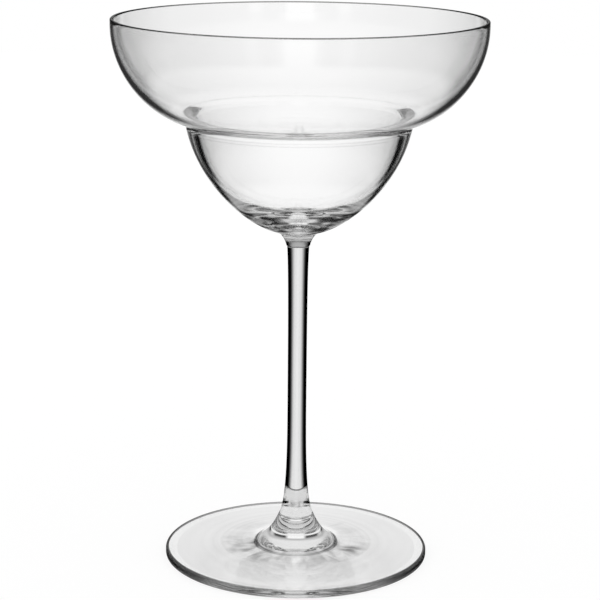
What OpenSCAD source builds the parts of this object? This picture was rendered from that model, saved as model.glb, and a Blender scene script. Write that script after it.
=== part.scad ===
// Stemmed margarita glass: a two-tier bowl, a drawn stem and a round foot, fused end to end.
// The glass stands on the table at z = 0, with its axis along Z and the rim at the top.

/* [Whole glass] */
// Height from the table to the top of the rim; the stem takes up the change
glass_h = 180; // [160:1:220]

/* [Foot] */
// Radius of the foot's outer edge
foot_r = 43.9; // [38:0.1:52]
// Height of the foot, from the table to the seam under the stem
foot_h = 14; // [12:0.1:18]
// Thickness of the foot at its outer edge
foot_edge_t = 2.8; // [2.4:0.1:3.4]
// Rounding of the two corners of the foot's edge
foot_edge_round = 0.9; // [0.4:0.05:1.1]
// Height that the top of the foot gains between its edge and the boss
foot_rise = 1.6; // [0.6:0.1:2.6]
// Radius at which the boss runs out into the top of the foot
boss_r = 17; // [14:0.1:22]
// Width of the flat ring that the glass stands on
contact_w = 3; // [1.5:0.1:5]
// Radius of the punt, the hollow pressed up under the boss
punt_r = 13.2; // [9:0.1:14]
// Height of the top of the punt above the table
punt_h = 1.8; // [1.4:0.1:3]
// Height of the underside above the table at the rim of the punt
underside_rise = 0.4; // [0.3:0.1:1.2]

/* [Stem] */
// Radius of the stem where it is fused to the foot
stem_foot_r = 5.6; // [4.6:0.1:6.6]
// Radius of the stem at its waist
waist_r = 3.12; // [2.6:0.01:3.5]
// Height of the waist above the foot's seam
waist_h = 36; // [26:1:44]
// Radius of the stem where it is fused to the bowl
stem_bowl_r = 3.62; // [3.2:0.01:4.4]

/* [Bowl] */
// Height of the bowl, from the seam on the stem to the top of the rim
bowl_h = 74.2; // [70:0.1:84]
// Outer radius of the rim
rim_r = 60.6; // [54:0.1:68]
// Height of the step between the two tiers, above the seam on the stem
step_h = 40.7; // [36:0.1:44]
// Outer radius of the step's corner
step_r = 36.9; // [32:0.1:42]
// Radius of the outer fillet in the step's corner
step_fillet = 2; // [1:0.1:3]
// Outer radius at which the well's bottom turns into the neck
neck_r = 7.6; // [6.6:0.1:9]
// Height of the neck, from the seam to the well's bottom
neck_h = 5; // [4:0.1:7]
// Thickness of the wall at the rim
rim_wall = 1.1; // [0.8:0.05:1.6]
// Thickness of the wall at the step
step_wall = 1.5; // [1.2:0.05:2.2]
// Thickness of the wall at the top of the well
well_wall = 3.3; // [2.6:0.05:3.8]
// Thickness of the solid glass at the axis, from the seam up to the well's floor
base_t = 10.2; // [9:0.1:14]

/* [Fused seams] */
// How far the neck stands proud of the stem at the upper seam
neck_lip = 0.28; // [0.1:0.01:0.4]
// How far the boss stands proud of the stem at the lower seam
boss_lip = 0.14; // [0.05:0.01:0.3]

/* [Hidden] */
$fn = 160;

// Straight steps in a long curve and in a small round
curve_steps = 22;
round_steps = 6;

// Heights of the three seams and faces above the table
stem_base_z = foot_h;
bowl_base_z = glass_h - bowl_h;
waist_z = stem_base_z + waist_h;

// Slopes of the curves where they meet, in degrees
foot_top_slope = 3.4;
boss_steepness = 67;
stem_top_lean = 3.8;
neck_lean = 8;
well_bottom_slope = 14.5;
well_top_lean = 11;
step_slope = 16;
rim_lean = 2.5;
underside_slope = 2;
punt_slope = 50;

// Reach of a curve's two handles, as shares of the distance between its ends
foot_top_shares = [0.33, 0.33];
boss_shares = [0.42, 0.38];
stem_low_shares = [0.13, 0.6];
stem_high_shares = [0.5, 0.14];
neck_shares = [0.3, 0.3];
well_outer_shares = [0.24, 0.4];
well_inner_shares = [0.44, 0.4];
upper_shares = [0.32, 0.4];
underside_shares = [0.33, 0.33];
punt_shares = [0.8, 0.1];

function unit_at(a) = [cos(a), sin(a)];

// A smooth curve from a to b that leaves a towards a_heading and arrives at b along b_heading.
// The headings are angles from the radial direction, and the handles are shares of the chord.
function curve(a, b, a_heading, b_heading, shares, steps = curve_steps) =
    let (
        chord = norm(b - a),
        c = a + shares[0] * chord * unit_at(a_heading),
        d = b - shares[1] * chord * unit_at(b_heading)
    )
    [for (i = [0 : steps])
        let (t = i / steps, s = 1 - t)
        s * s * s * a + 3 * s * s * t * c + 3 * s * t * t * d + t * t * t * b];

// An arc about a centre, from one angle to another
function arc(centre, radius, from, to, steps = round_steps) =
    [for (i = [0 : steps]) centre + radius * unit_at(from + (to - from) * i / steps)];

// The points of several stretches in a row, each stretch giving up its first point to the one before
function joined(stretches) =
    [for (i = [0 : len(stretches) - 1], j = [(i == 0 ? 0 : 1) : len(stretches[i]) - 1]) stretches[i][j]];

module turned(outline) {
    rotate_extrude() polygon(outline);
}

// The foot: a shallow disc on a flat ring, with a punt below and a flared boss that meets the stem
contact_out_r = foot_r - foot_edge_round;
contact_in_r = contact_out_r - contact_w;
foot_top_z = foot_edge_t + foot_rise;
boss_top_r = stem_foot_r + boss_lip;

function punt_line() =
    curve([0, punt_h], [punt_r, underside_rise], 0, -punt_slope, punt_shares);

function underside_line() =
    curve([punt_r, underside_rise], [contact_in_r, 0], -underside_slope, -underside_slope, underside_shares);

function foot_edge_line() = joined([
    arc([contact_out_r, foot_edge_round], foot_edge_round, -90, 0),
    arc([contact_out_r, foot_edge_t - foot_edge_round], foot_edge_round, 0, 90 - foot_top_slope)
]);

function foot_top_line() =
    let (edge = foot_edge_line(), from = edge[len(edge) - 1])
    curve(from, [boss_r, foot_top_z], 180 - foot_top_slope, 180 - foot_top_slope, foot_top_shares);

function boss_line() =
    curve([boss_r, foot_top_z], [boss_top_r, foot_h - boss_lip],
        180 - foot_top_slope, 180 - boss_steepness, boss_shares);

module foot() {
    color("gainsboro")
    turned(concat(
        joined([punt_line(), underside_line()]),
        joined([foot_edge_line(), foot_top_line(), boss_line()]),
        [[stem_foot_r, foot_h], [0, foot_h]]
    ));
}

// The stem: a solid rod, drawn to a waist, that flares to a seam at each end
function stem_low_line() =
    curve([stem_foot_r, stem_base_z], [waist_r, waist_z], 180 - boss_steepness, 90, stem_low_shares);

function stem_high_line() =
    curve([waist_r, waist_z], [stem_bowl_r, bowl_base_z], 90, 90 - stem_top_lean, stem_high_shares);

module stem() {
    color("gainsboro")
    turned(concat(
        [[0, stem_base_z]],
        joined([stem_low_line(), stem_high_line()]),
        [[0, bowl_base_z]]
    ));
}

// The bowl: a wide upper tier and a narrow well, blown as one wall with a step between them
step_corner = [step_r, bowl_base_z + step_h];
well_bottom = [neck_r, bowl_base_z + neck_h];
neck_bottom_r = stem_bowl_r + neck_lip;
rim_bead_r = rim_wall / 2;
rim_z = glass_h - rim_bead_r;

// The step's fillet touches the shelf above and the well's wall below
step_turn = 90 - step_slope - well_top_lean;
fillet_reach = step_fillet * tan(step_turn / 2);
shelf_start = step_corner + fillet_reach * unit_at(step_slope);
well_top = step_corner - fillet_reach * unit_at(90 - well_top_lean);
fillet_centre = well_top + step_fillet * unit_at(-well_top_lean);

function neck_line() =
    curve([neck_bottom_r, bowl_base_z + neck_lip], well_bottom, 90 - neck_lean, well_bottom_slope, neck_shares);

function well_outer_line() =
    curve(well_bottom, well_top, well_bottom_slope, 90 - well_top_lean, well_outer_shares);

function step_outer_line() =
    arc(fillet_centre, step_fillet, 180 - well_top_lean, 90 + step_slope);

function upper_outer_line() =
    curve(shelf_start, [rim_r, rim_z], step_slope, 90 + rim_lean, upper_shares);

function bowl_outer_line() =
    joined([neck_line(), well_outer_line(), step_outer_line(), upper_outer_line()]);

function rim_line() =
    arc([rim_r - rim_bead_r, rim_z], rim_bead_r, rim_lean, 180 + rim_lean);

// The inside follows the outside at the wall's thickness down to the well, which has its own round floor
inner_shelf = shelf_start + step_wall * unit_at(90 + step_slope);
inner_well_top = well_top + well_wall * unit_at(180 - well_top_lean);
inner_rim = rim_line()[round_steps];

function upper_inner_line() =
    curve(inner_rim, inner_shelf, 270 + rim_lean, 180 + step_slope, [upper_shares[1], upper_shares[0]]);

// Between the shelf and the well the wall thickens evenly round the fillet's centre
function step_inner_line() =
    [for (i = [0 : round_steps])
        let (
            share = i / round_steps,
            heading = 90 + step_slope + step_turn * share,
            wall = step_wall + (well_wall - step_wall) * share
        )
        fillet_centre + (step_fillet + wall) * unit_at(heading)];

function well_inner_line() =
    curve(inner_well_top, [0, bowl_base_z + base_t], 270 - well_top_lean, 180, well_inner_shares);

module bowl() {
    color("gainsboro")
    turned(concat(
        [[0, bowl_base_z], [stem_bowl_r, bowl_base_z]],
        joined([bowl_outer_line(), rim_line(), upper_inner_line(), step_inner_line(), well_inner_line()])
    ));
}

foot();
stem();
bowl();
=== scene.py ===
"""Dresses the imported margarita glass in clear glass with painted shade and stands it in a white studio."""

import math

import bpy
from mathutils import Matrix, Vector


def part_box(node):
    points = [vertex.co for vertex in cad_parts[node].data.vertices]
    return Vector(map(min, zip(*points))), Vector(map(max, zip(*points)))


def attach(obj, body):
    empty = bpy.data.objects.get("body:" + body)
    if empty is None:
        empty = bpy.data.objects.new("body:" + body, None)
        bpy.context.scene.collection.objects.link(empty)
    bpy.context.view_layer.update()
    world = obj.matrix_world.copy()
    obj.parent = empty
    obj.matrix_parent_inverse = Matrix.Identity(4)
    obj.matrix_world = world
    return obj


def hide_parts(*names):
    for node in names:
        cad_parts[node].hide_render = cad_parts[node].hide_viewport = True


bl_info = {
    "name": "Margarita Glass",
    "version": (1, 0, 0),
    "blender": (4, 5, 0),
    "location": "View3D > Sidebar > Margarita Glass",
    "description": "Turns the bowl, stem and foot of a margarita glass and lights them in a white studio",
    "category": "Add Mesh",
}

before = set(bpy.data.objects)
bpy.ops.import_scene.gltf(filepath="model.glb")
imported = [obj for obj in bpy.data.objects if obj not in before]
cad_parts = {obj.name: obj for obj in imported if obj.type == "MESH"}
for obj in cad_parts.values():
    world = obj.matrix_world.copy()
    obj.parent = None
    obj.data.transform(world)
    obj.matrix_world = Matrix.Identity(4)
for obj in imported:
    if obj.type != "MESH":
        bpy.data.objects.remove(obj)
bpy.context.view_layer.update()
FOOT_LOW, FOOT_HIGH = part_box("foot")
STEM_LOW, STEM_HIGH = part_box("stem")
BOWL_LOW, BOWL_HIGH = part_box("bowl")

MM = 0.001
WHITE = (1, 1, 1, 1)
LEVEL = (1, 1, 0)
BODY = "root"

# The tree that turns an outline, and the attribute that marks the points on a fused seam
TURNED_TREE = "Turned on the axis"
SEAM_MARK = "seam"

# How the turned meshes are made: only a face with all its corners on a seam passes the seam's level
TURNED_SIDES = 256
WELD_DISTANCE = 0.0005 * MM
SHARP_ANGLE = math.radians(30)
SEAM_TOLERANCE = 0.001 * MM
SEAM_LEVEL = 0.99

# The blend of Layer Weight at which Facing is one minus the cosine
PLAIN_BLEND = 0.5


# Kinds of property


def length(name, description, default):
    return bpy.props.FloatProperty(
        name=name, description=description, default=default, precision=5, subtype="DISTANCE", unit="LENGTH"
    )


def slope(name, description, degrees):
    return bpy.props.FloatProperty(
        name=name, description=description, default=math.radians(degrees), subtype="ANGLE", unit="ROTATION"
    )


def handles(name, description, default):
    return bpy.props.FloatVectorProperty(
        name=name, description=description, default=default, size=2, min=0, max=1
    )


def count(name, description, default, least):
    return bpy.props.IntProperty(name=name, description=description, default=default, min=least)


class MARGARITA_PG_bowl(bpy.types.PropertyGroup):
    """Sizes of the bowl. Heights are counted from the seam on the stem."""

    rim_r: length("Rim radius", "Outer radius of the rim", 60.6 * MM)
    rim_wall: length("Rim wall", "Thickness of the wall at the rim", 1.1 * MM)
    step_h: length("Step height", "Height of the step between the two tiers", 40.7 * MM)
    step_r: length("Step radius", "Outer radius of the step's corner", 36.9 * MM)
    step_fillet: length("Step fillet", "Radius of the outer fillet in the step's corner", 2 * MM)
    step_wall: length("Step wall", "Thickness of the wall at the step", 1.5 * MM)
    well_wall: length("Well wall", "Thickness of the wall at the top of the well", 3.3 * MM)
    neck_r: length("Neck radius", "Outer radius at which the well turns into the neck", 7.6 * MM)
    neck_h: length("Neck height", "Height of the neck", 5 * MM)
    neck_lip: length("Neck lip", "How far the neck stands proud of the stem", 0.28 * MM)
    base_t: length("Base thickness", "Solid glass at the axis, up to the well's floor", 10.2 * MM)
    neck_lean: slope("Neck lean", "Lean of the neck at the seam", 8)
    well_bottom_slope: slope("Well bottom slope", "Slope of the well where the neck meets it", 14.5)
    well_top_lean: slope("Well top lean", "Lean of the well's wall below the step", 11)
    step_slope: slope("Step slope", "Slope of the shelf above the step", 16)
    rim_lean: slope("Rim lean", "How far the wall leans in at the rim", 2.5)
    neck_shares: handles("Neck handles", "Reach of the neck curve's handles", (0.3, 0.3))
    well_outer_shares: handles("Well handles", "Reach of the well curve's handles, outside", (0.24, 0.4))
    well_inner_shares: handles("Inner well handles", "Reach of the well curve's handles, inside", (0.44, 0.4))
    upper_shares: handles("Upper handles", "Reach of the upper tier's handles", (0.32, 0.4))


class MARGARITA_PG_stem(bpy.types.PropertyGroup):
    """Sizes of the stem."""

    foot_end_r: length("Radius at the foot", "Radius where the stem is fused to the foot", STEM_HIGH.x)
    bowl_end_r: length("Radius at the bowl", "Radius where the stem is fused to the bowl", 3.62 * MM)
    waist_r: length("Waist radius", "Radius of the stem at its waist", 3.12 * MM)
    waist_h: length("Waist height", "Height of the waist above the foot's seam", 36 * MM)
    top_lean: slope("Top lean", "Lean of the stem at the bowl's seam", 3.8)
    low_shares: handles("Low handles", "Reach of the lower curve's handles", (0.13, 0.6))
    high_shares: handles("High handles", "Reach of the upper curve's handles", (0.5, 0.14))


class MARGARITA_PG_foot(bpy.types.PropertyGroup):
    """Sizes of the foot."""

    edge_r: length("Foot radius", "Radius of the foot's outer edge", FOOT_HIGH.x)
    edge_t: length("Edge thickness", "Thickness of the foot at its edge", 2.8 * MM)
    edge_round: length("Edge round", "Rounding of the edge's two corners", 0.9 * MM)
    rise: length("Rise", "Height that the top gains between the edge and the boss", 1.6 * MM)
    boss_r: length("Boss radius", "Radius at which the boss runs out into the top", 17 * MM)
    boss_lip: length("Boss lip", "How far the boss stands proud of the stem", 0.14 * MM)
    contact_w: length("Contact width", "Width of the flat ring that the glass stands on", 3 * MM)
    punt_r: length("Punt radius", "Radius of the hollow under the boss", 13.2 * MM)
    punt_h: length("Punt height", "Height of the top of the hollow", 1.8 * MM)
    underside_rise: length("Underside rise", "Height of the underside at the punt's rim", 0.4 * MM)
    top_slope: slope("Top slope", "Slope of the foot's top", 3.4)
    boss_steepness: slope("Boss steepness", "Slope of the boss at the stem", 67)
    underside_slope: slope("Underside slope", "Slope of the underside", 2)
    punt_slope: slope("Punt slope", "Slope of the hollow at its rim", 50)
    top_shares: handles("Top handles", "Reach of the top curve's handles", (0.33, 0.33))
    boss_shares: handles("Boss handles", "Reach of the boss curve's handles", (0.42, 0.38))
    underside_shares: handles("Underside handles", "Reach of the underside's handles", (0.33, 0.33))
    punt_shares: handles("Punt handles", "Reach of the punt curve's handles", (0.8, 0.1))


class MARGARITA_PG_mesh(bpy.types.PropertyGroup):
    """How finely the pieces are turned."""

    sides: count("Sides", "Faces round a piece", TURNED_SIDES, 24)
    curve_steps: count("Curve steps", "Steps along a long curve", 48, 4)
    round_steps: count("Round steps", "Steps round a corner", 12, 3)


class MARGARITA_PG_glass(bpy.types.PropertyGroup):
    """The look of the glass."""

    tint: bpy.props.FloatVectorProperty(
        name="Tint",
        description="Colour that the glass passes",
        subtype="COLOR",
        default=(1, 1, 1),
        min=0,
        max=1,
    )
    ior: bpy.props.FloatProperty(
        name="IOR", description="How strongly the glass bends light", default=1.5, min=1
    )


class MARGARITA_PG_stage(bpy.types.PropertyGroup):
    """The studio and its camera, at the photograph's viewing angle."""

    camera_distance: length("Camera distance", "From the glass's axis to the camera, level", 656.75 * MM)
    camera_h: length("Camera height", "Height of the camera above the floor", 243.54 * MM)
    pitch: slope("Pitch", "How far the camera looks down", 13.364)
    roll: slope("Roll", "How far the camera is rolled", 0.499)
    yaw: slope("Yaw", "How far the camera is turned aside", 0.064)
    lens: bpy.props.FloatProperty(
        name="Lens",
        description="Focal length on a sensor 36 mm wide",
        default=122.93,
        subtype="DISTANCE_CAMERA",
    )
    floor_r: length("Floor radius", "Radius of the round floor", 1.5)


# Outlines


def unit_at(angle):
    return Vector((math.cos(angle), math.sin(angle)))


def curve(a, b, a_heading, b_heading, shares, steps):
    """A smooth curve from a to b that leaves along a_heading and arrives along b_heading."""
    a, b = Vector(a), Vector(b)
    chord = (b - a).length
    c = a + shares[0] * chord * unit_at(a_heading)
    d = b - shares[1] * chord * unit_at(b_heading)
    points = []
    for i in range(steps + 1):
        t = i / steps
        s = 1 - t
        points.append(s**3 * a + 3 * s * s * t * c + 3 * s * t * t * d + t**3 * b)
    return points


def arc(centre, radius, start, end, steps):
    turn = (end - start) / steps
    return [Vector(centre) + radius * unit_at(start + turn * i) for i in range(steps + 1)]


def joined(*stretches):
    """The points of several stretches, each giving up its first point to the one before."""
    points = list(stretches[0])
    for stretch in stretches[1:]:
        points += stretch[1:]
    return points


UP = math.radians(90)
IN = math.radians(180)
DOWN = math.radians(270)


def bowl_outline(bowl, stem, mesh):
    """Radius and height of the bowl, from the axis at its base, over the rim, to the well's floor."""
    base_z, top_z = BOWL_LOW.z, BOWL_HIGH.z
    long, short = mesh.curve_steps, mesh.round_steps
    bead = bowl.rim_wall / 2
    rim_z = top_z - bead
    corner = Vector((bowl.step_r, base_z + bowl.step_h))
    well_bottom = Vector((bowl.neck_r, base_z + bowl.neck_h))
    turn = UP - bowl.step_slope - bowl.well_top_lean
    reach = bowl.step_fillet * math.tan(turn / 2)
    shelf = corner + reach * unit_at(bowl.step_slope)
    well_top = corner - reach * unit_at(UP - bowl.well_top_lean)
    centre = well_top + bowl.step_fillet * unit_at(-bowl.well_top_lean)
    neck_start = (stem.bowl_end_r + bowl.neck_lip, base_z + bowl.neck_lip)
    rim = arc((bowl.rim_r - bead, rim_z), bead, bowl.rim_lean, IN + bowl.rim_lean, short)
    inner_shelf = shelf + bowl.step_wall * unit_at(UP + bowl.step_slope)
    inner_well_top = well_top + bowl.well_wall * unit_at(IN - bowl.well_top_lean)
    inner_step = []
    for i in range(short + 1):
        part = i / short
        wall = bowl.step_wall + (bowl.well_wall - bowl.step_wall) * part
        inner_step.append(centre + (bowl.step_fillet + wall) * unit_at(UP + bowl.step_slope + turn * part))
    floor = (0, base_z + bowl.base_t)
    bottom, lean = bowl.well_bottom_slope, bowl.well_top_lean
    low, high = bowl.upper_shares
    return [Vector((0, base_z)), Vector((stem.bowl_end_r, base_z))] + joined(
        curve(neck_start, well_bottom, UP - bowl.neck_lean, bottom, bowl.neck_shares, short),
        curve(well_bottom, well_top, bottom, UP - lean, bowl.well_outer_shares, long),
        arc(centre, bowl.step_fillet, IN - lean, UP + bowl.step_slope, short),
        curve(shelf, rim[0], bowl.step_slope, UP + bowl.rim_lean, (low, high), long),
        rim,
        curve(rim[-1], inner_shelf, DOWN + bowl.rim_lean, IN + bowl.step_slope, (high, low), long),
        inner_step,
        curve(inner_well_top, floor, DOWN - lean, IN, bowl.well_inner_shares, long),
    )


def stem_outline(stem, foot, mesh):
    base_z, top_z = STEM_LOW.z, STEM_HIGH.z
    foot_end = (stem.foot_end_r, base_z)
    waist = (stem.waist_r, base_z + stem.waist_h)
    bowl_end = (stem.bowl_end_r, top_z)
    side = joined(
        curve(foot_end, waist, IN - foot.boss_steepness, UP, stem.low_shares, mesh.curve_steps),
        curve(waist, bowl_end, UP, UP - stem.top_lean, stem.high_shares, mesh.curve_steps),
    )
    return [Vector((0, base_z))] + side + [Vector((0, top_z))]


def foot_outline(foot, stem, mesh):
    """The foot's outline, from the top of its punt, round the edge and up the boss to the seam."""
    long, short = mesh.curve_steps, mesh.round_steps
    seam_z = FOOT_HIGH.z
    corner_r = foot.edge_r - foot.edge_round
    contact_in_r = corner_r - foot.contact_w
    down, inward = -foot.underside_slope, IN - foot.top_slope
    punt_rim = (foot.punt_r, foot.underside_rise)
    punt = curve((0, foot.punt_h), punt_rim, 0, -foot.punt_slope, foot.punt_shares, short)
    underside = curve(punt_rim, (contact_in_r, 0), down, down, foot.underside_shares, short)
    lower = arc((corner_r, foot.edge_round), foot.edge_round, -UP, 0, short)
    upper = arc((corner_r, foot.edge_t - foot.edge_round), foot.edge_round, 0, UP - foot.top_slope, short)
    boss_edge = (foot.boss_r, foot.edge_t + foot.rise)
    boss_top = (stem.foot_end_r + foot.boss_lip, seam_z - foot.boss_lip)
    return (
        joined(punt, underside)
        + joined(
            lower,
            upper,
            curve(upper[-1], boss_edge, inward, inward, foot.top_shares, short),
            curve(boss_edge, boss_top, inward, IN - foot.boss_steepness, foot.boss_shares, long),
        )
        + [Vector((stem.foot_end_r, seam_z)), Vector((0, seam_z))]
    )


# Turned pieces


class Wiring:
    """Short ways to add and link the nodes of a tree."""

    def __init__(self, tree):
        self.tree = tree

    def add(self, kind, **settings):
        node = self.tree.nodes.new(kind)
        for name, value in settings.items():
            setattr(node, name, value)
        return node

    def link(self, source, target):
        if isinstance(source, (int, float, tuple)):
            target.default_value = source
        else:
            self.tree.links.new(source, target)

    def math(self, operation, *values, clamp=False):
        node = self.add("ShaderNodeMath", operation=operation, use_clamp=clamp)
        for socket, value in zip(node.inputs, values):
            self.link(value, socket)
        return node.outputs[0]

    def rest(self, value):
        """What the value leaves of 1."""
        return self.math("SUBTRACT", 1.0, value)

    def product(self, first, *others):
        """Numbers multiplied with one another."""
        for other in others:
            first = self.math("MULTIPLY", first, other)
        return first

    def vector(self, operation, *values):
        node = self.add("ShaderNodeVectorMath", operation=operation)
        for socket, value in zip(node.inputs, values):
            self.link(value, socket)
        return node.outputs["Value"] if operation in ("DOT_PRODUCT", "LENGTH") else node.outputs[0]

    def layered(self, first, *others):
        """Colours multiplied with one another, as filters that lie over each other are."""
        for other in others:
            first = self.vector("MULTIPLY", first, other)
        return first

    def ramp(self, value, stops):
        """A ramp of greys, given as (place, grey) pairs."""
        node = self.add("ShaderNodeValToRGB")
        elements = node.color_ramp.elements
        while len(elements) < len(stops):
            elements.new(1)
        for element, (place, grey) in zip(elements, stops):
            element.position = place
            element.color = (grey, grey, grey, 1)
        self.link(value, node.inputs["Fac"])
        return node.outputs["Color"]

    def noise(self, place, settings):
        node = self.add("ShaderNodeTexNoise")
        self.link(place, node.inputs["Vector"])
        for name, value in settings.items():
            node.inputs[name].default_value = value
        return node.outputs["Fac"]

    def height(self):
        """Height above the floor."""
        node = self.add("ShaderNodeSeparateXYZ")
        self.link(self.add("ShaderNodeTexCoord").outputs["Object"], node.inputs[0])
        return node.outputs["Z"]

    def line(self, value, place, width):
        """1 at the place, falling to 0 at half the width to either side."""
        off = self.math("ABSOLUTE", self.math("SUBTRACT", value, place))
        return self.math("SUBTRACT", 1.0, self.math("DIVIDE", off, width / 2), clamp=True)

    def grey(self, value):
        """A grey of the given value."""
        node = self.add("ShaderNodeCombineXYZ")
        for socket in node.inputs:
            self.link(value, socket)
        return node.outputs[0]

    def blended(self, amount, first, second):
        """The first colour at amount 0 and the second at amount 1."""
        node = self.add("ShaderNodeMix", data_type="RGBA")
        for name, value in (("Factor", amount), ("A", first), ("B", second)):
            self.link(value, node.inputs[name])
        return node.outputs["Result"]

    def filtered(self, amount, colour):
        """A filter that is clear at amount 0 and has the colour at amount 1."""
        return self.blended(amount, WHITE, colour)

    def mix(self, amount, first, second):
        """The first shader at amount 0 and the second at amount 1."""
        node = self.add("ShaderNodeMixShader")
        for socket, value in zip(node.inputs, (amount, first, second)):
            self.link(value, socket)
        return node.outputs[0]

    def matt(self, grey):
        node = self.add("ShaderNodeBsdfDiffuse")
        node.inputs["Color"].default_value = (grey, grey, grey, 1)
        return node.outputs[0]

    def clear(self):
        """Lets light pass as if nothing were there."""
        return self.add("ShaderNodeBsdfTransparent").outputs[0]

    def surface(self, shader):
        self.link(shader, self.add("ShaderNodeOutputMaterial").inputs["Surface"])


def turning_tree():
    """A tree that turns a line of points in the XZ plane once about Z into a closed, welded shell."""
    tree = bpy.data.node_groups.new(TURNED_TREE, "GeometryNodeTree")

    def given_as(name, kind, default=None):
        socket = tree.interface.new_socket(name, in_out="INPUT", socket_type=kind)
        if default is not None:
            socket.default_value = default

    given_as("Outline", "NodeSocketGeometry")
    given_as("Sides", "NodeSocketInt", TURNED_SIDES)
    given_as("Weld distance", "NodeSocketFloat", WELD_DISTANCE)
    given_as("Sharp above", "NodeSocketFloat", SHARP_ANGLE)
    given_as("Glass", "NodeSocketMaterial")
    given_as("Seam", "NodeSocketMaterial")
    tree.interface.new_socket("Shell", in_out="OUTPUT", socket_type="NodeSocketGeometry")
    w = Wiring(tree)
    given = w.add("NodeGroupInput").outputs
    size = w.add("GeometryNodeAttributeDomainSize", component="MESH")
    w.link(given["Outline"], size.inputs["Geometry"])
    rows = size.outputs["Point Count"]
    grid = w.add("GeometryNodeMeshGrid")
    w.link(w.math("ADD", given["Sides"], 1), grid.inputs["Vertices X"])
    w.link(rows, grid.inputs["Vertices Y"])

    index = w.add("GeometryNodeInputIndex").outputs[0]
    row = w.math("MODULO", index, rows)
    column = w.math("FLOOR", w.math("DIVIDE", w.math("ADD", index, 0.5), rows))
    angle = w.math("DIVIDE", w.math("MULTIPLY", column, math.tau), given["Sides"])

    def at_row(kind, value):
        node = w.add("GeometryNodeSampleIndex", data_type=kind)
        w.link(given["Outline"], node.inputs["Geometry"])
        w.link(value, node.inputs["Value"])
        w.link(row, node.inputs["Index"])
        return node.outputs["Value"]

    mark = w.add("GeometryNodeInputNamedAttribute", data_type="FLOAT")
    mark.inputs["Name"].default_value = SEAM_MARK
    turned = w.add("ShaderNodeVectorRotate", rotation_type="Z_AXIS")
    w.link(at_row("FLOAT_VECTOR", w.add("GeometryNodeInputPosition").outputs[0]), turned.inputs["Vector"])
    w.link(angle, turned.inputs["Angle"])
    place = w.add("GeometryNodeSetPosition")
    w.link(grid.outputs["Mesh"], place.inputs["Geometry"])
    w.link(turned.outputs[0], place.inputs["Position"])
    store = w.add("GeometryNodeStoreNamedAttribute", data_type="FLOAT", domain="POINT")
    store.inputs["Name"].default_value = SEAM_MARK
    w.link(place.outputs[0], store.inputs["Geometry"])
    w.link(at_row("FLOAT", mark.outputs["Attribute"]), store.inputs["Value"])
    weld = w.add("GeometryNodeMergeByDistance")
    w.link(store.outputs[0], weld.inputs["Geometry"])
    w.link(given["Weld distance"], weld.inputs["Distance"])

    smooth = w.add("GeometryNodeSetShadeSmooth", domain="FACE")
    w.link(weld.outputs[0], smooth.inputs["Geometry"])
    sharp = w.add("GeometryNodeSetShadeSmooth", domain="EDGE")
    sharp.inputs["Shade Smooth"].default_value = False
    w.link(smooth.outputs[0], sharp.inputs["Geometry"])
    bend = w.add("GeometryNodeInputMeshEdgeAngle").outputs["Unsigned Angle"]
    w.link(w.math("GREATER_THAN", bend, given["Sharp above"]), sharp.inputs["Selection"])

    real = w.add("GeometryNodeRealizeInstances")
    w.link(sharp.outputs[0], real.inputs["Geometry"])
    glass = w.add("GeometryNodeSetMaterial")
    w.link(real.outputs[0], glass.inputs["Geometry"])
    w.link(given["Glass"], glass.inputs["Material"])
    seam = w.add("GeometryNodeSetMaterial")
    w.link(glass.outputs[0], seam.inputs["Geometry"])
    w.link(given["Seam"], seam.inputs["Material"])
    w.link(w.math("GREATER_THAN", mark.outputs["Attribute"], SEAM_LEVEL), seam.inputs["Selection"])
    w.link(seam.outputs[0], w.add("NodeGroupOutput").inputs["Shell"])
    return tree


def turned_piece(name, outline, seams, glass, seam):
    """A closed piece turned from its outline. Its flat faces at the heights in seams are fused ones."""
    mesh = bpy.data.meshes.new(name)
    points = [(p.x, 0, p.y) for p in outline]
    mesh.from_pydata(points, [(i, i + 1) for i in range(len(points) - 1)], [])
    marks = mesh.attributes.new(SEAM_MARK, "FLOAT", "POINT")
    for i, point in enumerate(points):
        marks.data[i].value = float(any(abs(point[2] - z) < SEAM_TOLERANCE for z in seams))
    piece = bpy.data.objects.new(name, mesh)
    bpy.context.scene.collection.objects.link(piece)

    tree = bpy.data.node_groups.get(TURNED_TREE) or turning_tree()
    modifier = piece.modifiers.new("Turned", "NODES")
    modifier.node_group = tree
    inputs = [item for item in tree.interface.items_tree if item.in_out == "INPUT"]
    sockets = {item.name: item.identifier for item in inputs}
    modifier[sockets["Sides"]] = bpy.context.scene.margarita_mesh.sides
    modifier[sockets["Glass"]] = glass
    modifier[sockets["Seam"]] = seam
    depsgraph = bpy.context.evaluated_depsgraph_get()
    shell = bpy.data.meshes.new_from_object(piece.evaluated_get(depsgraph))
    shell.name = name
    piece.modifiers.clear()
    piece.data = shell
    bpy.data.meshes.remove(mesh)
    return piece


def dressed(piece, node):
    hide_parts(node)
    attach(piece, BODY)


# Materials


def new_material(name):
    """The material and its wiring, or no wiring where the material is already there."""
    material = bpy.data.materials.get(name)
    if material:
        return material, None
    material = bpy.data.materials.new(name)
    material.use_nodes = True
    material.node_tree.nodes.clear()
    return material, Wiring(material.node_tree)


def facing(w, normal=None):
    """How square a normal, or else the surface itself, stands to the line of sight: 1 face on, 0 edge on."""
    weight = w.add("ShaderNodeLayerWeight")
    weight.inputs["Blend"].default_value = PLAIN_BLEND
    if normal is not None:
        w.link(normal, weight.inputs["Normal"])
    return w.rest(weight.outputs["Facing"])


def rod_facing(w):
    """The same for the surface, measured level, so that a rod seen from above keeps its painted dark sides.
    """
    upright = w.add("ShaderNodeCombineXYZ")
    upright.inputs["Z"].default_value = 1
    tilt = facing(w, upright.outputs[0])
    level = w.math("SQRT", w.rest(w.product(tilt, tilt)))
    return w.math("DIVIDE", facing(w), level)


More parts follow.
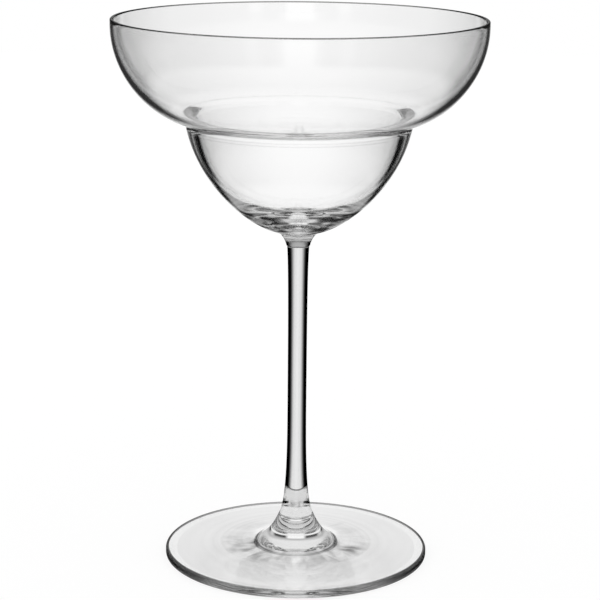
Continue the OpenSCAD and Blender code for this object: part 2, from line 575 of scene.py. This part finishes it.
def plan_facing(w):
    """How square the surface stands in plan: 1 in front and behind, 0 at the two sides."""
    flat = w.vector("MULTIPLY", w.add("ShaderNodeNewGeometry").outputs["Normal"], LEVEL)
    return facing(w, w.vector("NORMALIZE", flat))


def plan_place(w):
    """The place on the glass without its height."""
    return w.vector("MULTIPLY", w.add("ShaderNodeTexCoord").outputs["Object"], LEVEL)


def outer_face(w):
    """1 where light meets the glass from the air, 0 where it meets the surface from within."""
    return w.rest(w.add("ShaderNodeNewGeometry").outputs["Backfacing"])


def near_outer_face(w):
    """1 on the outer face of the wall towards the viewer."""
    normal = w.add("ShaderNodeNewGeometry").outputs["Normal"]
    near = w.math("GREATER_THAN", w.vector("DOT_PRODUCT", normal, plan_place(w)), 0.0)
    return w.product(outer_face(w), near)


def above(w, base_z, heights):
    """0 below the first of two heights over base_z and 1 above the second."""
    node = w.add("ShaderNodeMapRange", interpolation_type="SMOOTHSTEP")
    low, high = heights
    for name, value in (("Value", w.height()), ("From Min", base_z + low), ("From Max", base_z + high)):
        w.link(value, node.inputs[name])
    return node.outputs["Result"]


def zone(w, base_z, rise, fade):
    """1 between two heights over base_z, with the soft ends rise and fade."""
    return w.product(above(w, base_z, rise), w.rest(above(w, base_z, fade)))


def glass_shader(w, colour):
    look = bpy.context.scene.margarita_glass
    glass = w.add("ShaderNodeBsdfGlass")
    w.link(w.vector("MULTIPLY", colour, tuple(look.tint)), glass.inputs["Color"])
    glass.inputs["Roughness"].default_value = 0
    glass.inputs["IOR"].default_value = look.ior
    return glass.outputs[0]


# Ramps of the bowl's painted shade, over plan_facing, rod_facing or the pattern
WALL_SHADE_GREYS = (
    (0.0, 0.55),
    (0.12, 0.85),
    (0.3, 0.94),
    (0.6, 0.935),
    (0.75, 0.95),
    (0.87, 0.97),
    (0.96, 0.992),
    (1.0, 1.0),
)
STREAK_SHADE_GREYS = ((0.0, 0.0), (0.44, 0.08), (0.5, 0.4), (0.56, 0.6), (0.62, 0.9), (1.0, 0.95))
STREAK_SHADE_REACH = ((0.0, 0.0), (0.2, 0.0), (0.36, 1.0), (0.9, 1.0), (0.97, 0.4), (1.0, 0.3))
WELL_SHADE_GREYS = (
    (0.0, 1.0),
    (0.305, 1.0),
    (0.345, 0.25),
    (0.43, 0.2),
    (0.48, 0.8),
    (0.52, 1.0),
    (1.0, 1.0),
)
DASH_SHADE_DEPTHS = ((0.0, 0.9), (0.45, 0.8), (0.55, 0.2), (1.0, 0.0))
COLLAR_SHADE_GREYS = ((0.0, 0.0), (0.5, 0.0), (0.66, 0.25), (0.8, 0.8), (0.94, 1.0), (1.0, 1.0))

# Heights over the bowl's seam between which its zones of painted shade rise or fade
COLLAR_FADE = (1.2 * MM, 2.8 * MM)
NECK_FADE = (3 * MM, 3.8 * MM)
BASE_RISE = (4.2 * MM, 5.7 * MM)
BASE_FADE = (13 * MM, 14.2 * MM)
THICK_FADE = (14.2 * MM, 19.2 * MM)
WELL_RISE = (15.7 * MM, 17.7 * MM)
WELL_FADE = (37.7 * MM, 39.2 * MM)
SHELF_RISE = (39.2 * MM, 40.2 * MM)
SHELF_FADE = (43.2 * MM, 45.2 * MM)

# How much of the painted shade the thick glass and the shelf are spared, and the share of light that the
# neck's painted shade takes
THICK_SPARED = 0.95
SHELF_SPARED = 0.9
NECK_SHADE_DEPTH = 0.32

# Painted shade lines of the step: height over the seam, width and depth. The dashed one follows the pattern
DASH_LINE = (42.7 * MM, 0.6 * MM)
STEP_LINES = ((40.8 * MM, 0.7 * MM, 0.4), (39.2 * MM, 0.4 * MM, 0.12), (38.3 * MM, 0.6 * MM, 0.12))
# The rim's painted shade: the height below the top that it covers, and its depth
RIM_LINE_H = 0.4 * MM
RIM_SHADE_DEPTH = 0.65

# The pattern of the painted shade streaks and dashes, drawn out level round the bowl
PATTERN_PLACE = (0.34, 0.22, 0.1)
PATTERN_STRETCH = (1, 1, 4)
PATTERN_NOISE = {"Scale": 95, "Detail": 2, "Distortion": 0.8}


def level_pattern(w):
    stretched = w.add("ShaderNodeMapping")
    w.link(w.add("ShaderNodeTexCoord").outputs["Object"], stretched.inputs["Vector"])
    stretched.inputs["Location"].default_value = PATTERN_PLACE
    stretched.inputs["Scale"].default_value = PATTERN_STRETCH
    return w.noise(stretched.outputs[0], PATTERN_NOISE)


def painted_wall_shade(w, across):
    """Painted shade that greys the walls towards the sides, but hardly so in the thick base and the shelf."""
    thick = w.product(w.rest(above(w, BOWL_LOW.z, THICK_FADE)), THICK_SPARED)
    shelf = w.product(zone(w, BOWL_LOW.z, SHELF_RISE, SHELF_FADE), SHELF_SPARED)
    return w.filtered(w.rest(w.math("ADD", thick, shelf)), w.ramp(across, WALL_SHADE_GREYS))


def painted_base_streaks(w, across, near, pattern):
    """Painted shade: level dark streaks in the thick base."""
    base = zone(w, BOWL_LOW.z, BASE_RISE, BASE_FADE)
    return w.filtered(w.product(base, near, w.ramp(across, STREAK_SHADE_REACH)), w.ramp(pattern, STREAK_SHADE_GREYS))


def painted_well_shade(w, across, near):
    """A painted dark band of shade down each side of the well."""
    well = zone(w, BOWL_LOW.z, WELL_RISE, WELL_FADE)
    return w.filtered(w.product(well, near), w.ramp(across, WELL_SHADE_GREYS))


def painted_step_and_rim_shade(w, near, pattern):
    """Fine painted shade lines round the step, and the rim painted grey as shade."""
    z = w.height()
    dash_h, dash_w = DASH_LINE
    lines = w.product(w.line(z, BOWL_LOW.z + dash_h, dash_w), w.ramp(pattern, DASH_SHADE_DEPTHS))
    for line_h, line_w, depth in STEP_LINES:
        lines = w.math("MAXIMUM", lines, w.product(w.line(z, BOWL_LOW.z + line_h, line_w), depth))
    rim = w.product(w.math("GREATER_THAN", z, BOWL_HIGH.z - RIM_LINE_H), RIM_SHADE_DEPTH)
    return w.grey(w.rest(w.math("MAXIMUM", w.product(lines, near), rim)))


# The neck painted a shade darker, up to where it fades out
def painted_neck_shade(w):
    return w.grey(w.rest(w.product(w.rest(above(w, BOWL_LOW.z, NECK_FADE)), NECK_SHADE_DEPTH)))


def painted_collar_shade(w):
    """The stem's painted dark sides run on, as painted shade, into the lowest part of the neck."""
    collar = w.rest(above(w, BOWL_LOW.z, COLLAR_FADE))
    return w.filtered(w.product(collar, outer_face(w)), w.ramp(rod_facing(w), COLLAR_SHADE_GREYS))


def bowl_glass():
    """Clear glass with painted shade: it greys towards its sides, with painted streaks round the thick base,
    dark bands in the well, lines round the step and rim, and a darker neck and collar.
    """
    material, w = new_material("Clear glass")
    if w is None:
        return material
    across = plan_facing(w)
    near = near_outer_face(w)
    pattern = level_pattern(w)
    colour = w.layered(
        painted_wall_shade(w, across),
        painted_base_streaks(w, across, near, pattern),
        painted_well_shade(w, across, near),
        painted_step_and_rim_shade(w, near, pattern),
        painted_neck_shade(w),
        painted_collar_shade(w),
    )
    w.surface(glass_shader(w, colour))
    return material


# The stem's glass and its painted shade: ramps over rod_facing and plan_facing, and heights over its two
# seams
STEM_GREY = (0.9, 0.9, 0.9)
STEM_CLEARNESS = ((0.0, 0.0), (0.71, 0.0), (0.8, 0.14), (0.87, 0.5), (0.94, 0.95), (1.0, 1.0))
STEM_SIDES_RISE = (8.5 * MM, 10 * MM)
STEM_SIDES_FADE = (-0.3 * MM, 0.2 * MM)

# The two painted dark strokes of shade at the stem's lower end, which hang down in front by the sag
STROKE_H = 3.4 * MM
STROKE_W = 1 * MM
STROKE_SAG = 1.7 * MM
STROKE_STRENGTH = 2.2
STROKE_REACH = ((0.0, 1.0), (0.72, 1.0), (0.82, 0.0), (1.0, 0.0))


def painted_stem_strokes(w):
    across = plan_facing(w)
    lifted = w.math("SUBTRACT", w.height(), w.product(across, STROKE_SAG))
    stroke = w.line(lifted, STEM_LOW.z + STROKE_H, STROKE_W)
    return w.product(w.math("MULTIPLY", stroke, STROKE_STRENGTH, clamp=True), w.ramp(across, STROKE_REACH))


def painted_stem_side_shade(w):
    """Painted shade: dark sides between the flares at the stem's two ends."""
    drawn = w.product(
        above(w, STEM_LOW.z, STEM_SIDES_RISE),
        w.rest(above(w, STEM_HIGH.z, STEM_SIDES_FADE)),
    )
    return w.product(drawn, w.rest(w.ramp(rod_facing(w), STEM_CLEARNESS)))


def stem_glass():
    """The solid stem bends what is behind it so far aside that its two sides go dark; that shade is painted,
    with black matt mixed in.
    """
    material, w = new_material("Stem glass")
    if w is None:
        return material
    dark = w.product(w.math("MAXIMUM", painted_stem_side_shade(w), painted_stem_strokes(w)), outer_face(w))
    # Black matt is mixed in as painted shade at the stem's sides and strokes
    w.surface(w.mix(dark, glass_shader(w, STEM_GREY), w.matt(0)))
    return material


# Ramps of the foot's painted shade. A reach runs over the radius as a share of FOOT_REACH, the greys of the
# fan and the rings over their noises, and the rest over a facing
FOOT_REACH = 50 * MM
FAN_SHADE_GREYS = ((0.0, 0.1), (0.4, 0.25), (0.55, 0.75), (0.64, 1.0), (1.0, 1.0))
FAN_REACH = (
    (0.0, 0.0),
    (0.26, 0.0),
    (0.29, 0.7),
    (0.35, 0.6),
    (0.4, 1.0),
    (0.44, 0.8),
    (0.52, 0.0),
    (1.0, 0.0),
)
FAN_SIDES = ((0.0, 0.6), (0.3, 0.9), (0.65, 1.0), (0.85, 0.5), (1.0, 0.35))
FAN_TILT = ((0.0, 0.0), (0.32, 0.15), (0.37, 1.0), (1.0, 1.0))
RING_SHADE_GREYS = ((0.0, 0.93), (0.4, 0.95), (0.6, 1.0), (1.0, 1.0))
RING_REACH = ((0.0, 0.0), (0.34, 0.0), (0.38, 1.0), (0.5, 1.0), (0.66, 0.1), (1.0, 0.1))
EDGE_SHADE_GREYS = ((0.0, 0.2), (0.6, 0.3), (0.85, 0.75), (1.0, 0.95))
PUNT_SIDES = ((0.0, 1.0), (0.5, 1.0), (0.75, 0.3), (1.0, 0.1))

# The noises of the painted shade fan and rings. The spread lets the fan's streaks change along the radius
FAN_NOISE = {"Scale": 1.9, "Detail": 2, "Distortion": 0.8}
FAN_SPREAD = (40, 40, 0)
RING_SCALE = 450

# The painted dark edge's width, and a height that parts the hollow underside from the top
EDGE_W = 1 * MM
UNDERSIDE_H = 2.2 * MM

# Painted shade lines inside the punt's rim, each with its distance from it and its width. The inner one is
# fainter, and the broad one shows at the sides only
PUNT_RIM_LINE = (0.1 * MM, 0.4 * MM)
PUNT_INNER_LINE = (1.9 * MM, 0.4 * MM)
PUNT_BROAD_LINE = (0.8 * MM, 2 * MM)
PUNT_INNER_DEPTH = 0.6
PUNT_SHADE_DEPTH = 0.9


def painted_shade_fan(w, radius):
    """Soft streaks of painted shade that fan out from the boss on top of the foot."""
    place = w.add("ShaderNodeTexCoord").outputs["Object"]
    spread = w.vector("ADD", w.vector("NORMALIZE", plan_place(w)), w.vector("MULTIPLY", place, FAN_SPREAD))
    reach = w.ramp(w.math("DIVIDE", radius, FOOT_REACH), FAN_REACH)
    sides = w.ramp(plan_facing(w), FAN_SIDES)
    tilt = w.ramp(facing(w), FAN_TILT)
    streaks = w.ramp(w.noise(spread, FAN_NOISE), FAN_SHADE_GREYS)
    return w.filtered(w.product(reach, outer_face(w), sides, tilt), streaks)


def painted_shade_rings(w, radius):
    # Faint rings of painted shade round the foot
    rings = w.add("ShaderNodeTexNoise", noise_dimensions="1D")
    w.link(radius, rings.inputs["W"])
    rings.inputs["Scale"].default_value = RING_SCALE
    reach = w.ramp(w.math("DIVIDE", radius, FOOT_REACH), RING_REACH)
    return w.filtered(w.product(outer_face(w), reach), w.ramp(rings.outputs["Fac"], RING_SHADE_GREYS))


def painted_edge_shade(w, radius):
    # The rounded edge painted dark as shade, darkest at the sides
    rounded = w.math("GREATER_THAN", radius, FOOT_HIGH.x - EDGE_W)
    return w.filtered(rounded, w.ramp(plan_facing(w), EDGE_SHADE_GREYS))


def painted_punt_lines(w, radius):
    """The punt's rim, seen through the boss, as painted dark lines of shade that are broadest at the sides.
    """
    punt_r = bpy.context.scene.margarita_foot.punt_r

    def ring(inset, width):
        return w.line(radius, punt_r - inset, width)

    lines = w.math("MAXIMUM", ring(*PUNT_RIM_LINE), w.product(ring(*PUNT_INNER_LINE), PUNT_INNER_DEPTH))
    broad = w.product(ring(*PUNT_BROAD_LINE), w.ramp(plan_facing(w), PUNT_SIDES))
    below = w.math("LESS_THAN", w.height(), UNDERSIDE_H)
    return w.grey(w.rest(w.product(w.math("MAXIMUM", lines, broad), below, PUNT_SHADE_DEPTH)))


def foot_glass():
    """Clear glass with painted shade: soft dark streaks that fan out from the boss, faint rings, a dark edge
    and dark lines at the punt's rim.
    """
    material, w = new_material("Foot glass")
    if w is None:
        return material
    radius = w.vector("LENGTH", plan_place(w))
    colour = w.layered(
        painted_shade_fan(w, radius),
        painted_shade_rings(w, radius),
        painted_edge_shade(w, radius),
        painted_punt_lines(w, radius),
    )
    w.surface(glass_shader(w, colour))
    return material


def fused_seam():
    """The face where two pieces are fused, which light passes as if nothing were there."""
    material, w = new_material("Fused seam")
    if w is not None:
        w.surface(w.clear())
    return material


# Stage

# The room: ramps over a ray's height, from straight down to straight up, or its turn from front to side
PASSED_GREYS = ((0.0, 1.0), (0.66, 1.0), (0.8, 0.5), (1.0, 0.5))
HORIZON_REACH = ((0.0, 0.0), (0.22, 0.0), (0.27, 1.0), (0.57, 1.0), (0.63, 0.0), (1.0, 0.0))
INNER_ROOM = ((0.0, 0.85), (0.2, 0.9), (0.5, 0.5), (0.64, 0.45), (0.7, 0.8), (0.88, 0.8), (0.96, 0.6))
INNER_PANELS = (
    (0.0, 1.0),
    (0.08, 1.0),
    (0.12, 0.04),
    (0.25, 0.04),
    (0.3, 0.6),
    (0.34, 0.6),
    (0.39, 0.02),
    (0.7, 0.02),
    (1.0, 0.3),
)
OUTER_ROOM = ((0.0, 0.9), (0.25, 0.9), (0.5, 0.2), (0.56, 0.5), (0.7, 0.4), (1.0, 0.3))
OUTER_PANELS = ((0.0, 1.0), (0.1, 1.0), (0.18, 0.05), (0.7, 0.02), (1.0, 0.3))

# The floor: its glow and the grey that takes the shadow, and the grey that it lights others with
PAPER_GLOW = 0.84
PAPER_GREY = 0.17
PLAIN_GREY = 0.8
FLOOR_SIDES = 96

# The width of the camera's sensor in mm, and how often light may bend or bounce on its way through the glass
SENSOR_W = 36
LIGHT_BOUNCES = 96


def studio_world():
    """A white room. What the glass mirrors has a pale floor and ceiling, with panels at the horizon.

    The bright and dark panels stand in front and behind alike, so that the glass looks the same from both."""
    world = bpy.data.worlds.new("White studio")
    bpy.context.scene.world = world
    world.use_nodes = True
    tree = world.node_tree
    tree.nodes.clear()
    w = Wiring(tree)
    path = w.add("ShaderNodeLightPath").outputs
    split = w.add("ShaderNodeSeparateXYZ")
    w.link(w.add("ShaderNodeTexCoord").outputs["Generated"], split.inputs[0])
    height = w.math("ADD", w.math("MULTIPLY", split.outputs["Z"], 0.5), 0.5)
    around = w.math("ARCTAN2", w.math("ABSOLUTE", split.outputs["X"]), w.math("ABSOLUTE", split.outputs["Y"]))
    aside = w.math("DIVIDE", around, UP)

    horizon = w.ramp(height, HORIZON_REACH)
    inner = w.blended(horizon, w.ramp(height, INNER_ROOM), w.ramp(aside, INNER_PANELS))
    outer = w.blended(horizon, w.ramp(height, OUTER_ROOM), w.ramp(aside, OUTER_PANELS))
    passed = w.ramp(height, PASSED_GREYS)

    reflected = w.math("MINIMUM", path["Glossy Depth"], 1.0)
    inside = w.math("MINIMUM", path["Transmission Depth"], 1.0)
    seen = w.math("MAXIMUM", path["Is Camera Ray"], path["Is Diffuse Ray"])
    room = w.blended(reflected, passed, w.blended(inside, outer, inner))
    ground = w.add("ShaderNodeBackground")
    w.link(w.blended(seen, room, WHITE), ground.inputs["Color"])
    w.link(ground.outputs[0], w.add("ShaderNodeOutputWorld").inputs["Surface"])


def pale_floor():
    """A white floor that keeps a faint shadow. Past a mirroring the room itself shows in its place."""
    material, w = new_material("White floor")
    path = w.add("ShaderNodeLightPath").outputs
    glow = w.add("ShaderNodeEmission")
    glow.inputs["Strength"].default_value = PAPER_GLOW
    paper = w.add("ShaderNodeAddShader")
    w.link(w.matt(PAPER_GREY), paper.inputs[0])
    w.link(glow.outputs[0], paper.inputs[1])
    lit = w.mix(path["Is Diffuse Ray"], paper.outputs[0], w.matt(PLAIN_GREY))
    w.surface(w.mix(w.math("MINIMUM", path["Glossy Depth"], 1.0), lit, w.clear()))
    return material


# Operators


class MARGARITA_OT_bowl(bpy.types.Operator):
    """Turns the two-tier bowl"""

    bl_idname = "margarita.bowl"
    bl_label = "Bowl"

    def execute(self, context):
        scene = context.scene
        outline = bowl_outline(scene.margarita_bowl, scene.margarita_stem, scene.margarita_mesh)
        dressed(turned_piece("glass_bowl", outline, [BOWL_LOW.z], bowl_glass(), fused_seam()), "bowl")
        return {"FINISHED"}


class MARGARITA_OT_stem(bpy.types.Operator):
    """Turns the drawn stem"""

    bl_idname = "margarita.stem"
    bl_label = "Stem"

    def execute(self, context):
        scene = context.scene
        outline = stem_outline(scene.margarita_stem, scene.margarita_foot, scene.margarita_mesh)
        seams = [STEM_LOW.z, STEM_HIGH.z]
        dressed(turned_piece("glass_stem", outline, seams, stem_glass(), fused_seam()), "stem")
        return {"FINISHED"}


class MARGARITA_OT_foot(bpy.types.Operator):
    """Turns the round foot"""

    bl_idname = "margarita.foot"
    bl_label = "Foot"

    def execute(self, context):
        scene = context.scene
        outline = foot_outline(scene.margarita_foot, scene.margarita_stem, scene.margarita_mesh)
        dressed(turned_piece("glass_foot", outline, [FOOT_HIGH.z], foot_glass(), fused_seam()), "foot")
        return {"FINISHED"}


class MARGARITA_OT_stage(bpy.types.Operator):
    """Lays the floor, lights the studio and places the camera"""

    bl_idname = "margarita.stage"
    bl_label = "Stage"

    def execute(self, context):
        scene = context.scene
        stage = scene.margarita_stage
        bpy.ops.mesh.primitive_circle_add(vertices=FLOOR_SIDES, radius=stage.floor_r, fill_type="NGON")
        floor = context.object
        floor.name = "studio_floor"
        floor.data.materials.append(pale_floor())
        studio_world()

        camera_data = bpy.data.cameras.new("Camera")
        camera_data.sensor_width = SENSOR_W
        camera_data.lens = stage.lens
        camera = bpy.data.objects.new("Camera", camera_data)
        scene.collection.objects.link(camera)
        turn = Matrix.Rotation(-stage.yaw, 4, "Z") @ Matrix.Rotation(UP - stage.pitch, 4, "X")
        place = Matrix.Translation((0, -stage.camera_distance, stage.camera_h))
        camera.matrix_world = place @ turn @ Matrix.Rotation(stage.roll, 4, "Z")
        scene.camera = camera

        scene.view_settings.view_transform = "Standard"
        scene.cycles.max_bounces = LIGHT_BOUNCES
        scene.cycles.transmission_bounces = LIGHT_BOUNCES
        scene.cycles.glossy_bounces = LIGHT_BOUNCES
        scene.cycles.transparent_max_bounces = LIGHT_BOUNCES
        return {"FINISHED"}


class MARGARITA_PT_panel(bpy.types.Panel):
    """Lists the pieces of the glass and the stage"""

    bl_idname = "MARGARITA_PT_panel"
    bl_label = "Margarita Glass"
    bl_space_type = "VIEW_3D"
    bl_region_type = "UI"
    bl_category = "Margarita Glass"

    def draw(self, context):
        for operator in OPERATORS:
            self.layout.operator(operator.bl_idname)


OPERATORS = (MARGARITA_OT_bowl, MARGARITA_OT_stem, MARGARITA_OT_foot, MARGARITA_OT_stage)
GROUPS = {
    "margarita_bowl": MARGARITA_PG_bowl,
    "margarita_stem": MARGARITA_PG_stem,
    "margarita_foot": MARGARITA_PG_foot,
    "margarita_mesh": MARGARITA_PG_mesh,
    "margarita_glass": MARGARITA_PG_glass,
    "margarita_stage": MARGARITA_PG_stage,
}


def register():
    for group in GROUPS.values():
        bpy.utils.register_class(group)
    for name, group in GROUPS.items():
        setattr(bpy.types.Scene, name, bpy.props.PointerProperty(type=group))
    for operator in OPERATORS:
        bpy.utils.register_class(operator)
    bpy.utils.register_class(MARGARITA_PT_panel)


def unregister():
    bpy.utils.unregister_class(MARGARITA_PT_panel)
    for operator in reversed(OPERATORS):
        bpy.utils.unregister_class(operator)
    for name, group in GROUPS.items():
        delattr(bpy.types.Scene, name)
        bpy.utils.unregister_class(group)


def main():
    register()
    bpy.ops.margarita.bowl()
    bpy.ops.margarita.stem()
    bpy.ops.margarita.foot()
    bpy.ops.margarita.stage()


if __name__ == "__main__":
    main()
